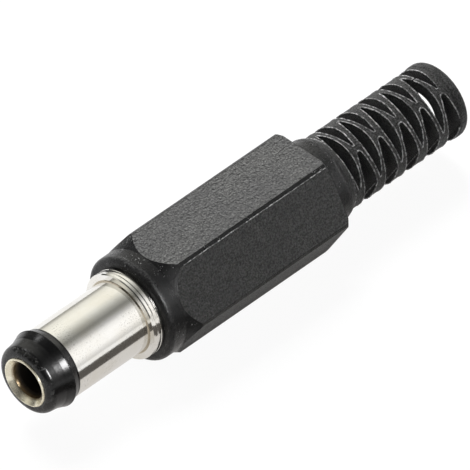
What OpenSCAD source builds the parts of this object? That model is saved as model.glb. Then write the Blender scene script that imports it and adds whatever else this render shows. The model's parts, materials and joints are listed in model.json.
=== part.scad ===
// Barrel-type dc power plug with a hexagonal screw-on grip and a slotted cable boot.
// The plug axis is X, with the mating tip at +X. The origin is on that axis, at the
// front face of the sleeve's flange. +Z is up, square to two of the grip's six flats.

/* [Barrel] */
// Outside diameter of the metal barrel
barrel_d = 5.5; // [4.5:0.05:6.6]
// Length from the flange's front face to the front of the contact lip
plug_len = 9.3; // [7.7:0.1:14]
// Wall of the metal barrel
barrel_wall = 0.4; // [0.3:0.05:0.5]
// Depth of the fine ring cut into the flange face round the barrel's root
root_ring_depth = 0.06; // [0.02:0.01:0.12]
// Width of that ring
root_ring_w = 0.12; // [0.06:0.01:0.2]

/* [Flange and threaded shank] */
// How far the flange stands out past the barrel
flange_step = 0.58; // [0.4:0.02:0.8]
// How far the flange stands out past the thread, to cover the mouth of the grip
flange_seat = 0.33; // [0.25:0.01:0.6]
// Thickness of the flange
flange_t = 0.9; // [0.6:0.05:1.5]
// Depth of the two fine grooves round the flange's rim
rim_groove_depth = 0.05; // [0.02:0.01:0.1]
// Width of each of those grooves
rim_groove_w = 0.09; // [0.05:0.01:0.12]
// Crest diameter of the thread on the shank
thread_d = 6.0; // [5:0.1:7.2]
// Depth of that thread
thread_depth = 0.2; // [0.15:0.01:0.3]
// Length of the threaded shank
thread_len = 5.0; // [4:0.1:6.5]

/* [Nose] */
// Length of the black nose, from the contact lip to the metal barrel
nose_len = 2.67; // [2:0.01:3.2]
// How far the nose's rear rim stands out past the barrel
nose_rim_step = 0.21; // [0.1:0.01:0.24]
// Radius of the rounded front edge of the nose
nose_round = 0.6; // [0.3:0.05:0.7]
// How far the contact lip stands ahead of the nose
lip_stand = 0.1; // [0.05:0.01:0.2]

/* [Centre contact] */
// Bore that takes the socket's centre pin
contact_bore_d = 2.5; // [2.1:0.1:3]
// Depth of that bore behind the lip
contact_depth = 10.5; // [8:0.1:12]
// Wall of the contact tube
contact_wall = 0.3; // [0.25:0.05:0.4]
// How far the rolled lip stands out past the contact tube
lip_roll = 0.34; // [0.2:0.01:0.4]
// Thickness of the rolled lip
lip_t = 0.26; // [0.2:0.01:0.4]
// How far the mouth of the lip is wider than the bore, on each side
lip_flare = 0.5; // [0.3:0.01:0.6]
// Depth of the steep part of the flared mouth
flare_depth = 0.42; // [0.3:0.01:0.6]
// How far the bore is still open past its own size where the steep part ends
flare_land = 0.16; // [0.05:0.01:0.25]
// Wall of the insulating liner where it passes through the shank
liner_wall = 0.33; // [0.3:0.01:0.5]

/* [Solder tags] */
// Thickness of the sheet that both tags are stamped from
tag_t = 0.35; // [0.25:0.05:0.45]
// Thickness of the insulating washer between the tags
washer_t = 0.5; // [0.4:0.05:0.8]
// Length of the earth tag behind its ring
ground_tail_len = 9.0; // [7:0.1:9.5]
// Angle that the earth tag's tail covers round the axis
ground_tail_angle = 64; // [40:1:80]
// Length of the cable clamp at the end of the earth tag
clamp_len = 2.4; // [1.5:0.1:3]
// Gap at the top of the cable clamp, as an angle round the axis
clamp_gap_angle = 110; // [90:1:150]
// Length of the tip tag behind its ring
tip_tail_len = 4.6; // [3:0.1:6]
// Width of the tip tag's tail
tip_tail_w = 2.0; // [1.4:0.1:2.2]
// Wire hole in the tip tag
wire_hole_d = 1.0; // [0.6:0.1:1.2]

/* [Grip] */
// Size of the hexagonal grip across its flats
grip_af = 8.1; // [6.75:0.05:10]
// Length of the grip from its front face to the rear of the hexagon
grip_len = 16.8; // [16:0.1:20.5]
// Length of the round collar ahead of the hexagon
collar_len = 1.4; // [1:0.05:2]
// Radius of the collar's front edge
collar_round = 0.4; // [0.2:0.05:0.5]
// How far the collar sits inside the flats
collar_inset = 0.01; // [0.01:0.01:0.1]
// Angle of the chamfer that blends the collar into the hexagon's corners
chamfer_angle = 28; // [20:1:40]
// How much the hexagon's corners are rounded off
corner_trim = 0.08; // [0.03:0.01:0.15]

/* [Cable boot] */
// Outside diameter of the slotted boot at its root
boot_d = 5.82; // [4.85:0.02:7]
// How much the boot narrows to its last slot
boot_taper = 0.1; // [0:0.02:0.3]
// How far the plain neck stands out past the boot
neck_step = 0.31; // [0.2:0.01:0.5]
// Length of the plain neck behind the hexagon
neck_len = 1.8; // [1.5:0.1:3]
// Length of the cone that takes the neck down to the boot
neck_cone = 0.5; // [0.2:0.05:0.6]
// Distance from the plain neck to the middle of the first slot
boot_lead = 0.9; // [0.9:0.05:1.4]
// Number of slot pairs
slot_pairs = 5; // [3:1:7]
// Distance from one slot pair to the next
slot_pitch = 2.07; // [2.05:0.01:2.5]
// Distance from the middle of the last slot to the end of the boot
end_len = 1.485; // [1.4:0.005:2]
// Length of the unslotted ring at the end of the boot
end_ring_len = 0.8; // [0.6:0.05:1]
// Bore of the boot, for the cable
cable_hole_d = 3.5; // [2.9:0.05:4.2]
// Rounding of the bore's mouth at the end of the boot
mouth_round = 0.5; // [0.3:0.05:0.6]
// Depth of the relief groove in that bore, under the last corner slots
relief_depth = 0.44; // [0.25:0.01:0.55]
// Width at the surface of a corner slot, which is centred on a corner of the hexagon
corner_slot_w = 0.95; // [0.7:0.01:1.1]
// Width of that slot's inner edge
corner_slot_tip = 0.1; // [0.05:0.01:0.2]
// Half of the angle that a corner slot covers round the axis
corner_slot_angle = 56.5; // [45:0.5:60]
// Greatest width of a side slot in the upper half, a quarter turn round
side_slot_w = 0.87; // [0.6:0.01:1.05]
// Greatest width of a side slot in the lower half
lower_slot_w = 1.16; // [0.8:0.01:1.25]
// Wall left between the floor of a lower side slot and the bore
lower_slot_floor = 0.3; // [0.2:0.01:0.4]
// Width of the web left between two side slots
web_w = 0.45; // [0.3:0.01:0.8]
// Width of the split through one rib of the last pair
rib_split_w = 0.22; // [0.1:0.01:0.4]
// Angle of that split, round from the corner slots' middle
rib_split_angle = 38; // [30:1:45]

/* [Fits] */
// Clearance between parts pressed or riveted together
press_gap = 0.02; // [0.01:0.01:0.05]
// Clearance between the thread's crests and the bore of the grip
thread_gap = 0.05; // [0.03:0.01:0.1]
// Least clearance between a tag and what it must not touch
tag_gap = 0.1; // [0.05:0.01:0.15]

/* [Hidden] */
$fn = 96;
eps = 0.01; // how far a cut runs past the face it opens
arc_steps = 6; // straight steps in a quarter of a rounded edge

// radii of the sleeve, the nose and the contact
barrel_r = barrel_d / 2;
thread_r = thread_d / 2;
shank_r = thread_r - thread_depth;
flange_r = max(barrel_r + flange_step, thread_r + flange_seat);
barrel_bore_r = barrel_r - barrel_wall;
contact_bore_r = contact_bore_d / 2;
contact_r = contact_bore_r + contact_wall;
shank_bore_r = min(barrel_bore_r, contact_r + liner_wall + 2 * press_gap);
lip_r = contact_r + lip_roll;
lip_mouth_r = contact_bore_r + lip_flare;
nose_rim_r = barrel_r + nose_rim_step;
nose_body_r = nose_rim_r - 0.24; // the nose's rounded body, just ahead of its rim
nose_front_r = max(lip_r + press_gap + 0.08, nose_body_r - nose_round - 0.1);

// stations along X, from the tip to the rear of the contact
x_nose_front = plug_len - lip_stand;
x_barrel_front = plug_len - nose_len;
x_barrel_seat = 0.8; // where the barrel's wide bore steps down, ahead of the flange
x_shank_rear = -flange_t - thread_len;
x_ground_rear = x_shank_rear - tag_t;
x_spigot_rear = x_ground_rear - 0.15; // the spigot is swaged over by this much
x_washer_front = x_spigot_rear - press_gap;
x_tip_front = x_washer_front - washer_t;
x_tip_rear = x_tip_front - tag_t;
x_contact_rear = x_tip_rear - 0.25; // the contact's tail is swaged over by this much

// radii of the tags
tag_r = shank_r + 0.05;
tail_r = tag_r - tag_t;
spigot_r = shank_bore_r + 0.3;
swage_r = (spigot_r + tail_r) / 2;
washer_r = tail_r - tag_gap;
tip_ring_r = washer_r - 0.15;

// the grip and its boot
flat_r = grip_af / 2;
corner_r = flat_r / cos(30);
land_r = corner_r - corner_trim;
collar_r = flat_r - collar_inset;
x_grip_front = -flange_t;
x_chamfer = x_grip_front - collar_len;
x_full_hex = x_chamfer - (land_r - collar_r) / tan(chamfer_angle);
x_grip_rear = x_grip_front - grip_len;
x_neck_rear = x_grip_rear - neck_len;
x_first_slot = x_neck_rear - boot_lead;
x_last_slot = x_first_slot - (slot_pairs - 0.5) * slot_pitch;
x_boot_rear = x_last_slot - end_len;
boot_r = boot_d / 2;
boot_tip_r = boot_r - boot_taper / 2;
neck_r = boot_r + neck_step;
end_ring_r = boot_tip_r + 0.07; // the last, unslotted ring is a little proud
cable_hole_r = cable_hole_d / 2;
mouth_r = thread_r + thread_gap;
cavity_r = max(tag_r + tag_gap, mouth_r - 0.07);
x_cavity_rear = x_ground_rear - ground_tail_len - 0.4; // the tags end this far short of it
x_cavity_front = x_shank_rear - 0.6; // the grip's threaded bore runs this far past the shank
x_bore_front = x_cavity_rear - (cavity_r - cable_hole_r);
corner_slot_depth = boot_r * cos(corner_slot_angle);
x_end_ring = x_boot_rear + end_ring_len;
corner_angle = 30; // from +Z round to the hexagon's corner, towards +Y

// The leaning sides of the side slots: [share of the boot's radius, reach to the front and
// reach to the rear as shares of the slot's greatest width]
side_slot_sides = [
    [0.223, 0.242, 0.167], [0.478, 0.485, 0.3], [0.708, 0.653, 0.347], [1, 0.647, 0.231]
];
lower_slot_sides = [
    [0.436, 0.416, 0.361], [0.701, 0.485, 0.5], [0.86, 0.485, 0.59], [1, 0.472, 0.42]
];
side_slot_edge = [0.06, 0.13]; // reach of the upper slots' inner edge, front and rear
lower_slot_edge = [0.18, 0.24]; // the same for the lower slots, whose inner edge is round

// Points on an arc in the plane of a turned section
function arc(centre, radius, from, to, steps = arc_steps) = [
    for (i = [0:steps])
        let (a = from + (to - from) * i / steps)
        centre + radius * [cos(a), sin(a)]
];

// A turned solid about X: section points are [radius, x]
module turned(points) {
    rotate([0, 90, 0]) rotate_extrude() polygon(points);
}

// A round rod or hole about X, from one station to another
module rod(r, x_from, x_to) {
    translate([min(x_from, x_to), 0, 0]) rotate([0, 90, 0]) cylinder(r = r, h = abs(x_to - x_from));
}

// A length of tube about X, open over part of the turn: angle is centred on "middle", from +Z
module part_tube(r_in, r_out, x_from, x_to, angle, middle) {
    translate([min(x_from, x_to), 0, 0])
        rotate([90 - middle, 0, 0])
            rotate([0, 90, 0])
                rotate([0, 0, 90 - angle / 2])
                    rotate_extrude(angle = angle)
                        translate([r_in, 0]) square([r_out - r_in, abs(x_to - x_from)]);
}

// Turned and plated sleeve: barrel, flange, threaded shank and the spigot that is swaged
// over the earth tag. The shank has the thread's root diameter.
module barrel_sleeve() {
    groove = rim_groove_w;
    edge = 0.07; // chamfer of the flange's edges
    inner = flange_r - rim_groove_depth;
    color([0.86, 0.85, 0.82]) difference() {
        turned([
            [0, x_spigot_rear], [swage_r, x_spigot_rear], [swage_r, x_ground_rear - press_gap],
            [spigot_r, x_ground_rear - press_gap], [spigot_r, x_shank_rear],
            [shank_r, x_shank_rear], [shank_r, -flange_t],
            [flange_r - edge, -flange_t], [flange_r, -flange_t + edge],
            [flange_r, -0.66 * flange_t - groove], [inner, -0.66 * flange_t - groove / 2],
            [flange_r, -0.66 * flange_t],
            [flange_r, -0.4 * flange_t], [inner, -0.4 * flange_t + groove / 2],
            [flange_r, -0.4 * flange_t + groove],
            [flange_r, -edge], [flange_r - edge, 0],
            [barrel_r + root_ring_w, 0], [barrel_r, -root_ring_depth],
            [barrel_r, x_barrel_front], [0, x_barrel_front]
        ]);
        rod(shank_bore_r, x_spigot_rear - eps, x_barrel_seat + eps);
        rod(barrel_bore_r, x_barrel_seat, x_barrel_front + eps);
    }
}

// Black insulator: the nose ring and, in one piece with it, the liner inside the sleeve
module nose_insulator() {
    liner_r = barrel_bore_r - press_gap;
    rear_liner_r = shank_bore_r - press_gap;
    rim_mid = x_barrel_front + 0.62; // the rim's crest
    shoulder = x_nose_front - 0.95;  // where the front rounding has run out
    color([0.09, 0.09, 0.1]) difference() {
        turned(concat(
            [
                [0, x_spigot_rear], [rear_liner_r, x_spigot_rear],
                [rear_liner_r, x_barrel_seat], [liner_r, x_barrel_seat + press_gap],
                [liner_r, x_barrel_front], [barrel_r, x_barrel_front],
                [barrel_r + 0.02, x_barrel_front + 0.16]
            ],
            arc([nose_rim_r - 0.1, rim_mid], 0.1, -50, 50),
            [
                [nose_body_r + 0.06, rim_mid + 0.5],
                [nose_body_r, rim_mid + 0.64],
                [nose_body_r - 0.06, shoulder]
            ],
            arc([nose_body_r - nose_round - 0.1, x_nose_front - nose_round],
                nose_round, 14, 84, 8),
            [
                [nose_front_r, x_nose_front],
                [lip_r + press_gap, x_nose_front - 0.02],
                [lip_r + press_gap, plug_len - lip_t - press_gap],
                [0, plug_len - lip_t - press_gap]
            ]
        ));
        rod(contact_r + press_gap, x_spigot_rear - eps, plug_len);
    }
}

// Centre contact: a turned tube with a rolled, flared lip, and a tail swaged over the tip tag
module centre_contact() {
    lip_edge = lip_t / 2 - 0.01; // radius of the rolled lip's outer edge
    color([0.88, 0.83, 0.68]) difference() {
        turned(concat(
            [
                [0, x_contact_rear], [contact_r + 0.25, x_contact_rear],
                [contact_r + 0.3, x_contact_rear + 0.08],
                [contact_r + 0.3, x_tip_rear - press_gap], [contact_r, x_tip_rear - press_gap],
                [contact_r, plug_len - lip_t]
            ],
            arc([lip_r - lip_edge, plug_len - lip_t / 2], lip_edge, -90, 90, 10),
            [
                [lip_mouth_r, plug_len], [0, plug_len]
            ]
        ));
        turned([
            [0, plug_len - contact_depth - contact_bore_r / 2],
            [contact_bore_r, plug_len - contact_depth],
            [contact_bore_r, plug_len - 2 * flare_depth],
            [contact_bore_r + flare_land, plug_len - flare_depth],
            [lip_mouth_r - 0.06, plug_len - 0.08],
            [lip_mouth_r + 0.02, plug_len + eps],
            [0, plug_len + eps]
        ]);
        rod(contact_bore_r / 2, x_contact_rear - eps, x_contact_rear + 0.8);
    }
}

// Earth tag: a stamped ring on the sleeve's spigot, a curved tail and a cable clamp
module ground_lug() {
    x_tail_rear = x_ground_rear - ground_tail_len;
    color([0.8, 0.79, 0.76]) difference() {
        union() {
            rod(tag_r, x_shank_rear, x_ground_rear);
            part_tube(tail_r, tag_r, x_shank_rear - eps, x_tail_rear, ground_tail_angle, 180);
            part_tube(tail_r, tag_r, x_tail_rear + clamp_len, x_tail_rear,
                360 - clamp_gap_angle, 180);
        }
        rod(spigot_r + press_gap, x_shank_rear + eps, x_ground_rear - eps);
    }
}

// Insulating washer between the two tags
module lug_insulator() {
    color([0.62, 0.5, 0.36]) difference() {
        rod(washer_r, x_tip_front + press_gap, x_washer_front);
        rod(contact_r + press_gap, x_tip_front, x_washer_front + eps);
    }
}

// Tip tag: a ring riveted under the contact's tail, and a tail with a wire hole
module tip_lug() {
    tail_z = tip_ring_r - tag_t; // underside of the tail
    x_tail_rear = x_tip_rear - tip_tail_len;
    color([0.8, 0.79, 0.76]) difference() {
        union() {
            rod(tip_ring_r, x_tip_front, x_tip_rear);
            intersection() {
                translate([x_tail_rear, -tip_tail_w / 2, tail_z])
                    cube([x_tip_front - x_tail_rear, tip_tail_w, 2 * tag_t]);
                rod(tip_ring_r, x_tip_front, x_tail_rear);
            }
        }
        rod(contact_r + press_gap, x_tip_front + eps, x_tip_rear - eps);
        translate([x_tail_rear + wire_hole_d, 0, tail_z - tag_t])
            cylinder(d = wire_hole_d, h = 3 * tag_t);
    }
}

// Hexagonal grip, round collar and chamfered corners, before it is hollowed
module grip_outside() {
    edge = 0.15; // broken edge at the rear of the hexagon
    intersection() {
        rotate([0, 90, 0]) rotate([0, 0, 30]) translate([0, 0, x_grip_rear])
            cylinder(r = corner_r, h = grip_len, $fn = 6);
        turned(concat(
            [
                [0, x_grip_rear], [land_r - edge, x_grip_rear], [land_r, x_grip_rear + edge],
                [land_r, x_full_hex], [collar_r, x_chamfer]
            ],
            arc([collar_r - collar_round, x_grip_front - collar_round], collar_round, 0, 90),
            [
                [0, x_grip_front]
            ]
        ));
    }
}

// Neck and boot, before they are slotted and hollowed
module boot_outside() {
    fillet = 0.12; // rounding of the neck's rear edge and of the slots' last ring
    end_round = 0.35; // rounding of the boot's end
    turned(concat(
        [
            [0, x_grip_rear + 1], [neck_r, x_grip_rear + 1], [neck_r, x_neck_rear + fillet],
            [neck_r - 0.3 * neck_step, x_neck_rear - 0.3 * neck_cone],
            [boot_r, x_neck_rear - neck_cone], [boot_tip_r, x_end_ring],
            [end_ring_r, x_end_ring - fillet]
        ],
        arc([end_ring_r - end_round, x_boot_rear + end_round], end_round, 0, -90),
        [
            [0, x_boot_rear]
        ]
    ));
}

// Everything inside the grip and boot, from its threaded mouth to the cable hole
module grip_inside() {
    lead_in = 0.15; // chamfer of the mouth
    x_relief = x_last_slot + slot_pitch / 2 - 0.27; // rear end of the groove's floor
    turned(concat(
        [
            [0, x_grip_front + eps], [mouth_r + lead_in, x_grip_front + eps],
            [mouth_r, x_grip_front - lead_in], [mouth_r, x_cavity_front],
            [cavity_r, x_cavity_front - 0.05], [cavity_r, x_cavity_rear],
            [cable_hole_r, x_bore_front], [cable_hole_r, x_relief + 0.45],
            [cable_hole_r + relief_depth, x_relief + 0.35],
            [cable_hole_r + relief_depth, x_relief],
            [cable_hole_r, x_relief - 0.63 * relief_depth]
        ],
        arc([cable_hole_r + mouth_round, x_boot_rear + mouth_round], mouth_round, 180, 270),
        [
            [cable_hole_r + mouth_round, x_boot_rear - eps], [0, x_boot_rear - eps]
        ]
    ));
}

// Both sides of a side slot as rows of [distance from the axis, reach to the front, reach to
// the rear], from its inner edge outwards
function slot_rows(width, edge, from, sides) = concat(
    [[from, edge[0] * width, edge[1] * width]],
    [for (s = sides) [s[0] * boot_r, s[1] * width, s[2] * width]]
);

// A slot cut straight through the boot's wall, from rows as above. "turn" is measured from +Z
// towards +Y, and "head" holds the points of a rounded inner edge, from rear to front.
module slot(x, turn, rows, head = []) {
    reach = boot_r + 1;
    mouth = rows[len(rows) - 1];
    front = [for (r = rows) [r[1], r[0]]];
    rear = [for (i = [len(rows) - 1:-1:0]) [-rows[i][2], rows[i][0]]];
    translate([x, 0, 0]) rotate([-turn, 0, 0]) rotate([90, 0, 0])
        linear_extrude(height = 2 * reach, center = true)
            polygon(concat(head, front, [[mouth[1], reach], [-mouth[2], reach]], rear));
}

// The two rows of slots: on two opposite corners of the hexagon, and a quarter turn round
module boot_slots() {
    tip = corner_slot_tip / 2;
    mouth = corner_slot_w / 2;
    corner_rows = [[corner_slot_depth, tip, tip], [boot_r, mouth, mouth]];
    side_rows = slot_rows(side_slot_w, side_slot_edge, web_w / 2, side_slot_sides);
    edge_r = lower_slot_w * (lower_slot_edge[0] + lower_slot_edge[1]) / 2;
    edge_mid = [lower_slot_w * lower_slot_edge[0] - edge_r, web_w / 2 + edge_r];
    lower_rows = slot_rows(lower_slot_w, lower_slot_edge, edge_mid[1], lower_slot_sides);
    for (i = [0:slot_pairs - 1]) {
        x_corner = x_first_slot - i * slot_pitch;
        x_side = x_corner - slot_pitch / 2;
        for (side = [0, 180])
            slot(x_corner, corner_angle + side, corner_rows);
        slot(x_side, corner_angle - 90, side_rows);
        difference() {
            slot(x_side, corner_angle + 90, lower_rows, arc(edge_mid, edge_r, 200, 340, 6));
            rod(cable_hole_r + lower_slot_floor, x_side + slot_pitch / 2, x_side - slot_pitch / 2);
        }
    }
}

// The split in the last pair's upper rib
module rib_split() {
    x_rib = x_last_slot + slot_pitch / 4;
    translate([x_rib, 0, 0]) rotate([rib_split_angle - corner_angle, 0, 0])
        translate([-slot_pitch / 4, -rib_split_w / 2, cable_hole_r / 2])
            cube([slot_pitch / 2, rib_split_w, boot_r]);
}

// Screw-on grip: hexagon, collar, neck and slotted boot in one moulding
module grip_cover() {
    color([0.17, 0.17, 0.18]) difference() {
        union() {
            grip_outside();
            boot_outside();
        }
        grip_inside();
        boot_slots();
        rib_split();
    }
}

barrel_sleeve();
nose_insulator();
centre_contact();
ground_lug();
lug_insulator();
tip_lug();
grip_cover();
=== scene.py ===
"""A cable-mount dc barrel plug: its finishes, its small turned and moulded detail, and a plain studio.

The solids come packed, in metres, with the mating tip at +X and the grip lying on one of its flats.
Sizes in this script are in millimetres and pass through mm where they become geometry.
"""
import json
import random

import bmesh
import bpy
from math import acos, cos, degrees, hypot, pi, radians, sin
from mathutils import Matrix, Vector


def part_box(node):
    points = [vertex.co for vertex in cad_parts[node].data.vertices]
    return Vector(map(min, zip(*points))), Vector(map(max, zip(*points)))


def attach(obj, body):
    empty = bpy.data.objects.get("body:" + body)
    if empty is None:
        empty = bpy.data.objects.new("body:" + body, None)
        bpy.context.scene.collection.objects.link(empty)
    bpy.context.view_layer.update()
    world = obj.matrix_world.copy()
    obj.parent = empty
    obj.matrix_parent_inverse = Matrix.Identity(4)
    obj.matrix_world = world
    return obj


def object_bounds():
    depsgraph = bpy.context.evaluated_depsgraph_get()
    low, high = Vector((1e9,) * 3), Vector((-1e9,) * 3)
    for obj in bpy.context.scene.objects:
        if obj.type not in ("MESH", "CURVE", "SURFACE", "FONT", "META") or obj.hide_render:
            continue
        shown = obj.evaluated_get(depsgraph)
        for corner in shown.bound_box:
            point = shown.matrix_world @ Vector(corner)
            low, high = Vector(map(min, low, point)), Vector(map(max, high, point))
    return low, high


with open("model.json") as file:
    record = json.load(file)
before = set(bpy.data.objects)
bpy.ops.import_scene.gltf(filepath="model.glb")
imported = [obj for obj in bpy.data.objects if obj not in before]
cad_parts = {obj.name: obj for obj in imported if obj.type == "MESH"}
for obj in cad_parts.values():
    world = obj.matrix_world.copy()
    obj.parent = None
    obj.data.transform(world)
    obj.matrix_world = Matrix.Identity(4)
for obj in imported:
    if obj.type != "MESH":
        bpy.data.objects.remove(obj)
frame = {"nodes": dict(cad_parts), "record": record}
cad_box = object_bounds()

mm = 0.001
mounts = {m["name"]: m for m in frame["record"]["mounts"]}

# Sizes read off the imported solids
grip_lo, grip_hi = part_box("grip_cover")
_, nose_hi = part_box("nose_insulator")
_, tag_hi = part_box("ground_lug")
barrel_r = mounts["barrel"]["dims"]["r_mm"]
bore_r = mounts["centre_bore"]["dims"]["r_mm"]
flat_r = grip_hi.z / mm  # axis to a flat of the hexagon
grip_front = grip_hi.x / mm
boot_rear = grip_lo.x / mm
lip_front = cad_box[1].x / mm
nose_front = nose_hi.x / mm
floor_z = cad_box[0].z - 0.01 * mm  # just clear of the flat that the grip lies on

# Sizes of the moulding that the finishes have to know
hex_rear = grip_front - 16.8
chamfer_front = grip_front - 1.4
chamfer_rear = -3.6
neck_rear = hex_rear - 1.8
boot_r = 2.91
corner_r = 4.597  # the trimmed corners of the hexagon
parting_turn = 30  # the parting line runs along this corner and the opposite one, from +Z to +Y


class Shade:
    """A value, colour or vector in a shader, so that finishes read as sums."""

    def __init__(self, tree, socket):
        self.tree, self.socket = tree, socket

    def node(self, kind, settings=None, links=None, out=0):
        """One node: its settings first, then the values or links of its sockets."""
        made = self.tree.nodes.new(kind)
        for name, value in (settings or {}).items():
            if name == "stops":
                ramp = made.color_ramp
                while len(ramp.elements) < len(value):
                    ramp.elements.new(0.5)
                for stop, (at, colour) in zip(ramp.elements, value):
                    stop.position = at
                    stop.color = (*colour, 1)
            elif name == "interpolation":
                made.color_ramp.interpolation = value
            else:
                setattr(made, name, value)
        for name, value in (links or {}).items():
            socket = made.inputs[name]
            if isinstance(value, Shade):
                self.tree.links.new(value.socket, socket)
            else:
                socket.default_value = value
        return Shade(self.tree, made.outputs[out])

    def maths(self, operation, *values):
        return self.node("ShaderNodeMath", {"operation": operation}, dict(enumerate(values)))

    def __add__(self, other):
        return self.maths("ADD", self, other)

    def __radd__(self, other):
        return self.maths("ADD", other, self)

    def __sub__(self, other):
        return self.maths("SUBTRACT", self, other)

    def __rsub__(self, other):
        return self.maths("SUBTRACT", other, self)

    def __mul__(self, other):
        return self.maths("MULTIPLY", self, other)

    def __rmul__(self, other):
        return self.maths("MULTIPLY", other, self)

    def __truediv__(self, other):
        return self.maths("DIVIDE", self, other)

    def __gt__(self, other):
        return self.maths("GREATER_THAN", self, other)

    def __lt__(self, other):
        return self.maths("LESS_THAN", self, other)

    def rise(self, start, end, low=0.0, high=1.0):
        """Goes smoothly from low at start to high at end, and stays there."""
        links = {"Value": self, "From Min": start, "From Max": end, "To Min": low, "To Max": high}
        return self.node("ShaderNodeMapRange", {"interpolation_type": "SMOOTHSTEP"}, links)

    def band(self, start, end, soft):
        """1 between start and end, with soft edges."""
        return self.rise(start - soft, start + soft) * self.rise(end - soft, end + soft, 1.0, 0.0)

    def noise(self, size, detail=2.0, rough=0.5, stretch=(1, 1, 1)):
        """Noise of about 0 to 1 whose lumps are size millimetres across; self is the place."""
        scale = tuple(1 / (s * size * mm) for s in stretch)
        place = self.node("ShaderNodeVectorMath", {"operation": "MULTIPLY"}, {0: self, 1: scale})
        return self.node(
            "ShaderNodeTexNoise", None, {"Vector": place, "Scale": 1.0, "Detail": detail, "Roughness": rough}
        )


def blend_colours(mask, first, second):
    """The first colour where mask is 0, the second where it is 1."""
    return mask.node(
        "ShaderNodeMix", {"data_type": "RGBA"}, {0: mask, 6: first, 7: second}, out=2
    )


def rgb(level, tint=(1, 1, 1)):
    return (*(level * t for t in tint), 1)


class Place:
    """Where a point of a piece is, in millimetres: along X, off the axis, and round it in degrees."""

    def __init__(self, shade):
        spot = shade.node("ShaderNodeTexCoord", out=3)
        facing = shade.node("ShaderNodeTexCoord", out=1)
        self.spot = spot
        self.x, self.y, self.z = (
            spot.node("ShaderNodeSeparateXYZ", None, {0: spot}, out=i) / mm for i in range(3)
        )
        self.nx = spot.node("ShaderNodeSeparateXYZ", None, {0: facing}, out=0)
        self.r = self.x.maths("SQRT", self.y * self.y + self.z * self.z)
        self.turn = self.x.maths("ARCTAN2", self.y, self.z) * (180 / pi)


def finish(name, colour=None, bump=None, bump_depth=0.01, **sockets):
    """A Principled material. Each of the functions colour, bump and any socket gets the Place."""
    made = bpy.data.materials.new(name)
    made.use_nodes = True
    tree = made.node_tree
    shader = tree.nodes["Principled BSDF"]
    place = Place(Shade(tree, None))
    wanted = {"Base Color": colour, **{k.replace("_", " "): v for k, v in sockets.items()}}
    for socket, value in wanted.items():
        if callable(value):
            value = value(place)
        if isinstance(value, Shade):
            tree.links.new(value.socket, shader.inputs[socket])
        elif value is not None:
            shader.inputs[socket].default_value = value
    if bump:
        height = bump(place)
        links = {"Height": height, "Strength": 1.0, "Distance": bump_depth * mm}
        relief = height.node("ShaderNodeBump", None, links)
        tree.links.new(relief.socket, shader.inputs["Normal"])
    return made


def dress(node, material):
    """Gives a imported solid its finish."""
    mesh = frame["nodes"][node].data
    mesh.materials.clear()
    mesh.materials.append(material)


# ---------------------------------------------------------------- finishes


def tool_marks(p):
    """Fine rings left by turning, and a little unevenness."""
    rings = p.spot.noise(0.035, 1.0, 0.5, stretch=(1, 60, 60))
    dents = p.spot.noise(0.35, 3.0, 0.6)
    return rings * 0.35 + dents * 0.65


def nickel_colour(p):
    """Bright plating, a little warmer where fingers and tarnish have been, with painted corner shade as a
    darker, browner ring at the barrel's root, dull in the thread.
    """
    cloud = p.spot.noise(2.2, 3.0, 0.6).rise(0.35, 0.7)
    warm = blend_colours(cloud, rgb(0.84, (1, 0.985, 0.95)), rgb(0.80, (1, 0.97, 0.90)))
    pits = p.spot.noise(0.13, 3.0, 0.7).rise(0.52, 0.7) * p.spot.noise(1.8, 2.0).rise(0.4, 0.6)
    warm = blend_colours(pits * 0.45, warm, rgb(0.26, (1, 0.94, 0.86)))
    # painted corner shade: a darker, browner ring where the barrel meets the flange's face
    root = p.x.band(-0.06, 0.05, 0.05) * p.r.band(barrel_r - 0.05, barrel_r + 0.12, 0.04)
    wear_and_painted_light = blend_colours(root, warm, rgb(0.62, (1, 0.93, 0.8)))
    inside = p.r.rise(barrel_r - 0.3, barrel_r - 0.15, 1.0, 0.0)
    return blend_colours(inside, wear_and_painted_light, rgb(0.45, (1, 0.95, 0.88)))


def nickel_roughness(p):
    fine = p.spot.noise(0.2, 4.0, 0.7)
    scratch = p.spot.noise(0.06, 2.0, 0.5, stretch=(14, 1, 1)).rise(0.62, 0.75)
    return 0.07 + fine * 0.06 + scratch * 0.08 + (p.x < -0.9) * 0.15


nickel = finish(
    "nickel", nickel_colour, tool_marks, 0.0035, Metallic=1.0, Roughness=nickel_roughness
)


def scuffs(p):
    """The scuffed band round the nose's front shoulder."""
    patch = p.spot.noise(0.3, 4.0, 0.7).rise(0.48, 0.72)
    return p.x.band(nose_front - 0.34, nose_front + 0.03, 0.12) * patch


def nose_colour(p):
    speck = (p.spot.noise(0.11, 1.0) > 0.78) * p.spot.noise(1.3, 1.0).rise(0.5, 0.6)
    wear_and_painted_light = scuffs(p) * 0.75 + speck * 0.5
    return blend_colours(wear_and_painted_light, rgb(0.004, (1, 1, 1.05)), rgb(0.07, (1, 0.98, 0.94)))


def nose_roughness(p):
    return 0.2 + scuffs(p) * 0.3 + p.spot.noise(0.4, 3.0) * 0.06


def nose_bump(p):
    grit = p.spot.noise(0.09, 3.0, 0.7) * (scuffs(p) + 0.06)
    return p.spot.noise(0.9, 2.0) * 0.5 + grit


nose_plastic = finish(
    "nose_plastic", nose_colour, nose_bump, 0.03, Roughness=nose_roughness
)
nose_plastic.node_tree.nodes["Principled BSDF"].inputs["Specular IOR Level"].default_value = 0.35


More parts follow.
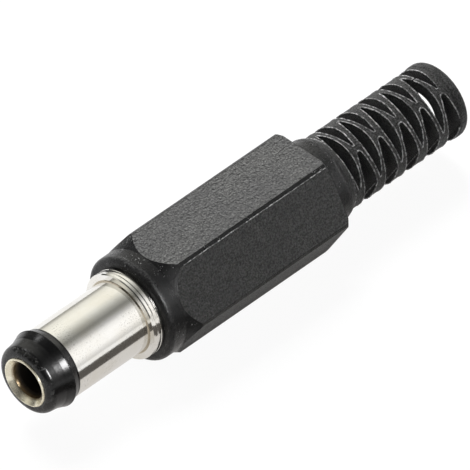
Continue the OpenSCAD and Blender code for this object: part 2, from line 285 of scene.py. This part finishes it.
def contact_colour(p):
    """Pale gold at the rolled lip, then painted shade with depth: browner down the flare, dark down the
    bore.
    """
    depth = lip_front - p.x
    inner = p.r.rise(bore_r + 0.46, bore_r + 0.56, 1.0, 0.0)
    lip = blend_colours(p.spot.noise(0.5, 3.0), rgb(0.86, (1, 0.95, 0.78)), rgb(0.72, (1, 0.9, 0.68)))
    # painted shade: the colour goes browner and then nearly black with depth, standing in for the shade down
    # the bore
    flare = blend_colours(depth.rise(0.2, 0.45), rgb(0.9, (1, 0.94, 0.76)), rgb(0.22, (1, 0.74, 0.42)))
    dark = blend_colours(depth.rise(0.4, 0.8), flare, rgb(0.035, (1, 0.85, 0.7)))
    return blend_colours(inner, lip, dark)


def contact_roughness(p):
    return 0.2 + p.spot.noise(0.25, 3.0) * 0.1 + (lip_front - p.x).rise(0.3, 1.0) * 0.4


contact_metal = finish(
    "contact_metal", contact_colour, tool_marks, 0.0008, Metallic=0.75, Roughness=contact_roughness
)


def tin_colour(p):
    cloud = p.spot.noise(0.8, 4.0, 0.6).rise(0.35, 0.65)
    return blend_colours(cloud, rgb(0.74, (1, 0.99, 0.97)), rgb(0.58, (1, 0.98, 0.94)))


tinned_tag = finish(
    "tinned_tag", tin_colour, lambda p: p.spot.noise(0.3, 4.0, 0.6), 0.012,
    Metallic=1.0, Roughness=lambda p: 0.24 + p.spot.noise(0.5, 3.0) * 0.2,
)


def board_colour(p):
    """Laminated board: thin darker layers, seen on its cut edge."""
    layers = p.spot.noise(0.05, 1.0, 0.5, stretch=(1, 30, 30))
    return blend_colours(layers, rgb(0.30, (1, 0.62, 0.33)), rgb(0.46, (1, 0.7, 0.42)))


washer_board = finish(
    "washer_board", board_colour, lambda p: p.spot.noise(0.12, 3.0), 0.01, Roughness=0.65
)


def on_flats(p):
    """1 on the grained flats of the hexagon, 0 on its chamfers, corners and collar."""
    near = p.r < corner_r - 0.012
    level = p.x.maths("ABSOLUTE", p.nx) < 0.12
    return near * level * p.x.band(hex_rear + 0.02, chamfer_front, 0.02)


def on_boot(p):
    return p.x.rise(neck_rear - 0.2, neck_rear + 0.5, 1.0, 0.0)


def leather(p):
    """Fine leathery grain: small lumps between shallow creases."""
    lumps = p.spot.noise(0.22, 3.0, 0.65, stretch=(1.25, 1, 1))
    creases = p.spot.noise(0.4, 2.0, 0.55)
    ridge = 1 - p.x.maths("ABSOLUTE", creases - 0.5) * 6
    return lumps * 0.75 + p.x.maths("MAXIMUM", ridge, 0.0) * -0.18


def grip_colour(p):
    """Black plastic: greyer on the grained flats and the boot's ribs, painted shade down in the slots, and a
    painted sheen, partly wear, on the collar's front edge and the neck.
    """
    grain = p.spot.noise(0.13, 2.0, 0.6).rise(0.3, 0.72)
    drift = p.spot.noise(3.5, 2.0).rise(0.3, 0.7)
    flats = blend_colours(grain, rgb(0.038, (1, 1, 1.0)), rgb(0.125, (1, 1, 0.97)))
    flats = blend_colours(drift * 0.35, flats, rgb(0.058, (1, 1, 1.04)))
    smooth = blend_colours(grain, rgb(0.004, (1, 1, 1.05)), rgb(0.009, (1, 1, 1.05)))
    dust = (p.spot.noise(0.085, 0.0) > 0.765) * p.spot.noise(1.1, 1.0).rise(0.5, 0.62)
    smooth = blend_colours(dust * 0.8, smooth, rgb(0.34))
    # painted sheen, partly wear: the collar's rounded front edge and the neck are coloured lighter, standing
    # in for the highlights along them
    wear_and_painted_light = p.x.band(grip_front - 0.5, grip_front - 0.1, 0.1) + p.x.band(neck_rear, hex_rear, 0.3) * 0.6
    smooth = blend_colours(wear_and_painted_light * grain, smooth, rgb(0.032))
    body = blend_colours(on_flats(p), smooth, flats)
    rib = blend_colours(grain, rgb(0.014, (1, 1, 1.0)), rgb(0.07, (1, 1, 0.99)))
    # painted shade: the boot's colour goes nearly black towards the bottom of its slots
    depth = p.r.rise(boot_r - 0.75, boot_r - 0.05)
    boot = blend_colours(depth, rgb(0.006), rib)
    return blend_colours(on_boot(p), body, boot)


def grip_roughness(p):
    flats = on_flats(p)
    boot = on_boot(p)
    rough = 0.24 + p.spot.noise(0.6, 3.0) * 0.1
    return rough + (flats * 0.3 + boot * 0.2)


def grip_coat(p):
    """A gloss on the collar, the chamfers and the neck, where there is no grain."""
    return (1 - on_flats(p)) * (1 - on_boot(p)) * 0.12


def grip_bump(p):
    flats = on_flats(p)
    boot = on_boot(p)
    grit = p.spot.noise(0.12, 3.0, 0.65)
    return leather(p) * flats + grit * (boot * 0.8 + 0.10) + p.spot.noise(1.6, 1.0) * 0.25


grip_plastic = finish(
    "grip_plastic", grip_colour, grip_bump, 0.42,
    Roughness=grip_roughness, Coat_Weight=grip_coat, Coat_Roughness=0.22,
)
grip_plastic.node_tree.nodes["Principled BSDF"].inputs["Specular IOR Level"].default_value = 0.16

# painted highlight: the flash is coloured light grey in patches, standing in for the highlights along the
# moulded edges
flash_plastic = finish(
    "flash_plastic",
    lambda p: blend_colours(p.spot.noise(0.2, 3.0).rise(0.38, 0.66), rgb(0.03), rgb(0.34)),
    lambda p: p.spot.noise(0.08, 2.0), 0.02, Roughness=0.36,
)

for node, material in {
    "barrel_sleeve": nickel,
    "nose_insulator": nose_plastic,
    "centre_contact": contact_metal,
    "ground_lug": tinned_tag,
    "lug_insulator": washer_board,
    "tip_lug": tinned_tag,
    "grip_cover": grip_plastic,
}.items():
    dress(node, material)

# ---------------------------------------------------------------- small detail


def add_piece(name, mesh_or_curve, material, body):
    """Puts a made piece in the scene, in its finish, on its body."""
    piece = bpy.data.objects.new(name, mesh_or_curve)
    bpy.context.scene.collection.objects.link(piece)
    piece.data.materials.append(material)
    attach(piece, body)
    return piece


def off_axis(x, r, turn):
    """The point at x, r millimetres off the axis and turn degrees round from +Z towards +Y."""
    return Vector((x, r * sin(radians(turn)), r * cos(radians(turn)))) * mm


def thread_ridge():
    """The helical ridge of the shank's fine thread, run out at both ends."""
    crest = 0.2
    pitch = 0.5
    half_foot = 0.2
    half_top = 0.03
    sunk = 0.03  # how far the ridge's foot is inside the shank
    margin = 0.25  # plain shank left at both ends
    root_r = tag_hi.z / mm - 0.05
    start, end = grip_front - margin, tag_hi.x / mm + margin
    steps_a_turn = 72
    run_out_steps = 24
    count = int((start - end) / pitch * steps_a_turn)
    mesh = bmesh.new()
    last = None
    for i in range(count + 1):
        x = start - pitch * i / steps_a_turn
        turn = 360 * i / steps_a_turn
        run_out = min(1, i / run_out_steps, (count - i) / run_out_steps)
        half = half_foot * run_out + 0.01
        top = root_r + crest * run_out + 0.002
        foot = root_r - sunk
        section = [(half, foot), (half_top, top), (-half_top, top), (-half, foot)]
        ring = [mesh.verts.new(off_axis(x + dx, r, turn)) for dx, r in section]
        if last:
            for a in range(4):
                b = (a + 1) % 4
                mesh.faces.new((last[a], last[b], ring[b], ring[a]))
        else:
            mesh.faces.new(ring[::-1])
        last = ring
    mesh.faces.new(last)
    bmesh.ops.recalc_face_normals(mesh, faces=mesh.faces)
    data = bpy.data.meshes.new("thread_ridge")
    mesh.to_mesh(data)
    mesh.free()
    return add_piece("thread_ridge", data, nickel, "core")


def sharp_runs(node, keep, angle=28):
    """Runs of points along a solid's sharp edges, where keep says so."""
    mesh = bmesh.new()
    mesh.from_mesh(frame["nodes"][node].data)
    bmesh.ops.remove_doubles(mesh, verts=mesh.verts, dist=1e-7)
    sharp = {
        e for e in mesh.edges
        if len(e.link_faces) == 2
        and e.calc_face_angle() > radians(angle)
        and all(keep(v.co / mm) for v in e.verts)
    }
    runs = []
    while sharp:
        edge = min(sharp, key=lambda e: e.index)
        sharp.remove(edge)
        run = [edge.verts[0], edge.verts[1]]
        for end in (-1, 0):
            while True:
                tip = run[end]
                ahead = [e for e in tip.link_edges if e in sharp]
                if len(ahead) != 1:
                    break
                sharp.remove(ahead[0])
                point = ahead[0].other_vert(tip)
                run.insert(len(run) if end == -1 else 0, point)
        runs.append([v.co / mm for v in run])
    mesh.free()
    return runs


def evenly(run, step):
    """The same run of points, about step apart."""
    points = [run[0]]
    for a, b in zip(run, run[1:]):
        parts = max(1, int((b - a).length / step))
        points += [a.lerp(b, k / parts) for k in range(1, parts + 1)]
    return points


def moulding_flash():
    """Thin uneven flash on the edges of the boot's slots and along the grip's parting line, coloured light
    in patches as a painted edge highlight.
    """
    draw = random.Random(7)
    curve = bpy.data.curves.new("moulding_flash", "CURVE")
    curve.dimensions = "3D"
    curve.bevel_depth = 0.055 * mm
    curve.bevel_resolution = 1
    curve.use_fill_caps = True

    def on_rib(point):
        off = hypot(point.y, point.z)
        return boot_rear + 0.85 < point.x < neck_rear + 0.3 and off > boot_r - 0.12

    runs = [(r, 1.0) for r in sharp_runs("grip_cover", on_rib) if len(r) > 2]
    strip = degrees(acos(flat_r / corner_r))
    for turn in (parting_turn + 30 - strip, parting_turn + 210 - strip):
        ends = [off_axis(x, corner_r - 0.01, turn) / mm for x in (hex_rear + 0.2, chamfer_rear - 0.1)]
        runs.append((ends, 0.8))
    for run, size in runs:
        points = evenly(run, 0.12)
        spline = curve.splines.new("POLY")
        spline.points.add(len(points) - 1)
        for point, spot in zip(spline.points, points):
            sink = 1 - 0.012 / hypot(spot.y, spot.z)
            point.co = (spot.x * mm, spot.y * sink * mm, spot.z * sink * mm, 1)
            point.radius = size * draw.uniform(0.55, 1.15)
    return add_piece("moulding_flash", curve, flash_plastic, "cover")


thread_ridge()
moulding_flash()

# ---------------------------------------------------------------- studio


def stage_material(name, build):
    """A material made of plain emission and diffuse nodes."""
    made = bpy.data.materials.new(name)
    made.use_nodes = True
    made.node_tree.nodes.clear()
    tree = made.node_tree
    out = tree.nodes.new("ShaderNodeOutputMaterial")
    tree.links.new(build(Shade(tree, None)).socket, out.inputs["Surface"])
    return made


def seen_directly(shade):
    """1 for camera, glossy and transmission rays."""
    rays = [shade.node("ShaderNodeLightPath", out=i) for i in (0, 3, 6)]
    return rays[0].maths("MAXIMUM", rays[0], rays[0].maths("MAXIMUM", rays[1], rays[2]))


def floor_shader(shade):
    white = shade.node("ShaderNodeEmission", None, {"Color": (1, 1, 1, 1), "Strength": 1.0})
    paper = shade.node("ShaderNodeBsdfDiffuse", None, {"Color": (0.9, 0.9, 0.9, 1)})
    share = seen_directly(shade) * 0.95
    return shade.node("ShaderNodeMixShader", None, {0: share, 1: paper, 2: white})


def plane(name, corners, material):
    data = bpy.data.meshes.new(name)
    data.from_pydata(corners, [], [tuple(range(len(corners)))])
    data.materials.append(material)
    made = bpy.data.objects.new(name, data)
    bpy.context.scene.collection.objects.link(made)
    return made


floor_size = 0.8
floor = plane(
    "floor",
    [(sx * floor_size, sy * floor_size, floor_z) for sx, sy in ((-1, -1), (1, -1), (1, 1), (-1, 1))],
    stage_material("floor_white", floor_shader),
)


def card_shader(shade):
    """A grey card with one dark stripe along it, for the bright metal to show."""
    place = Place(shade)
    stripe = place.y.band(8.0, 26.0, 0.2)
    tone = blend_colours(stripe, rgb(0.72, (1, 0.97, 0.94)), rgb(0.11, (1, 0.93, 0.86)))
    return shade.node("ShaderNodeEmission", None, {"Color": tone, "Strength": 1.0})


card = plane(
    "grey_card",
    [(x * mm, y * mm, floor_z + 0.005 * mm) for x, y in ((-30, -1), (16, -1), (16, 26.3), (-30, 26.3))],
    stage_material("card_grey", card_shader),
)
for ray in ("camera", "diffuse", "transmission", "volume_scatter", "shadow"):
    setattr(card, "visible_" + ray, False)


def studio_world():
    """White to the eye. In reflections it is a ring of soft boxes round the X axis, with a gap
    between them, and dim on the side that the tip points to."""
    world = bpy.data.worlds.new("studio")
    world.use_nodes = True
    tree = world.node_tree
    tree.nodes.clear()
    start = Shade(tree, None)
    way = start.node("ShaderNodeTexCoord", out=0)
    x, y, z = (start.node("ShaderNodeSeparateXYZ", None, {0: way}, out=i) for i in range(3))
    turn = x.maths("ARCTAN2", y, z) * (180 / pi)
    warm, green, clear = (1, 0.985, 0.9), (1, 1.0, 0.93), (1, 0.995, 0.985)
    levels = [
        (-95, 0.40, warm), (-84, 0.42, warm), (-70, 0.92, warm), (-50, 1.10, warm),
        (-32, 1.07, warm), (-18, 0.80, green), (-5, 0.48, green), (10, 0.24, green),
        (17, 0.30, green), (27, 0.55, clear), (38, 1.02, clear), (50, 1.18, clear),
        (70, 1.16, clear), (87, 0.76, clear), (95, 0.80, clear),
    ]
    stops = [((at + 180) / 360, tuple(level / 1.3 * t for t in tint)) for at, level, tint in levels]
    ring = turn.node("ShaderNodeValToRGB", {"stops": stops}, {0: (turn + 180) / 360})
    strength = x.rise(-0.42, -0.12, 1.3, 0.16) + x.band(0.42, 0.64, 0.06) * 0.9
    lights = start.node("ShaderNodeBackground", None, {"Color": ring, "Strength": strength})
    air = start.node("ShaderNodeBackground", None, {"Color": (1, 1, 1, 1), "Strength": 0.08})
    white = start.node("ShaderNodeBackground", None, {"Color": (1, 1, 1, 1), "Strength": 1.0})
    glossy = start.node("ShaderNodeLightPath", out=3)
    camera = start.node("ShaderNodeLightPath", out=0)
    mixed = start.node("ShaderNodeMixShader", None, {0: glossy, 1: air, 2: lights})
    mixed = start.node("ShaderNodeMixShader", None, {0: camera, 1: mixed, 2: white})
    out = tree.nodes.new("ShaderNodeOutputWorld")
    tree.links.new(mixed.socket, out.inputs["Surface"])
    bpy.context.scene.world = world


def soft_box(name, way, distance, width, height, level, glossy):
    """A soft box that faces the plug from the direction way. level is its own brightness.
    A glossy one only shows in reflections, and the others only light what isn't glossy."""
    light = bpy.data.lights.new(name, "AREA")
    light.shape = "RECTANGLE"
    light.size, light.size_y = width, height
    light.energy = level * pi * width * height
    lamp = bpy.data.objects.new(name, light)
    way = Vector(way).normalized()
    lamp.location = way * distance
    lamp.rotation_mode = "QUATERNION"
    lamp.rotation_quaternion = way.to_track_quat("Z", "Y")
    lamp.visible_glossy = glossy
    lamp.visible_diffuse = not glossy
    lamp.visible_camera = False
    bpy.context.scene.collection.objects.link(lamp)
    return lamp


studio_world()
soft_box("key", (-0.30, -0.60, 0.74), 0.40, 0.24, 0.24, 29.0, False)
soft_box("side", (0.05, 0.82, 0.57), 0.30, 0.11, 0.11, 45.0, True)
soft_box("top", (0.0, -0.67, 0.74), 0.30, 0.05, 0.05, 7.0, True)

# ---------------------------------------------------------------- camera

azimuth, elevation = radians(134.4), radians(42.3)
back = Vector((sin(azimuth) * cos(elevation), -cos(azimuth) * cos(elevation), sin(elevation)))
right = Vector((cos(azimuth), sin(azimuth), 0))
up = back.cross(right)
frame_width = 31.95  # of the view, at the plug's axis
camera_data = bpy.data.cameras.new("camera")
camera_data.lens = 1500
camera_data.sensor_width = 36
camera_data.clip_end = 10
camera = bpy.data.objects.new("camera", camera_data)
bpy.context.scene.collection.objects.link(camera)
aim = (right * 7.80 + up * 5.58) * mm
camera.matrix_world = (
    Matrix.Translation(aim + back * frame_width * mm * camera_data.lens / camera_data.sensor_width)
    @ Matrix((right, up, back)).transposed().to_4x4()
)
bpy.context.scene.camera = camera
bpy.context.scene.view_settings.view_transform = "Standard"
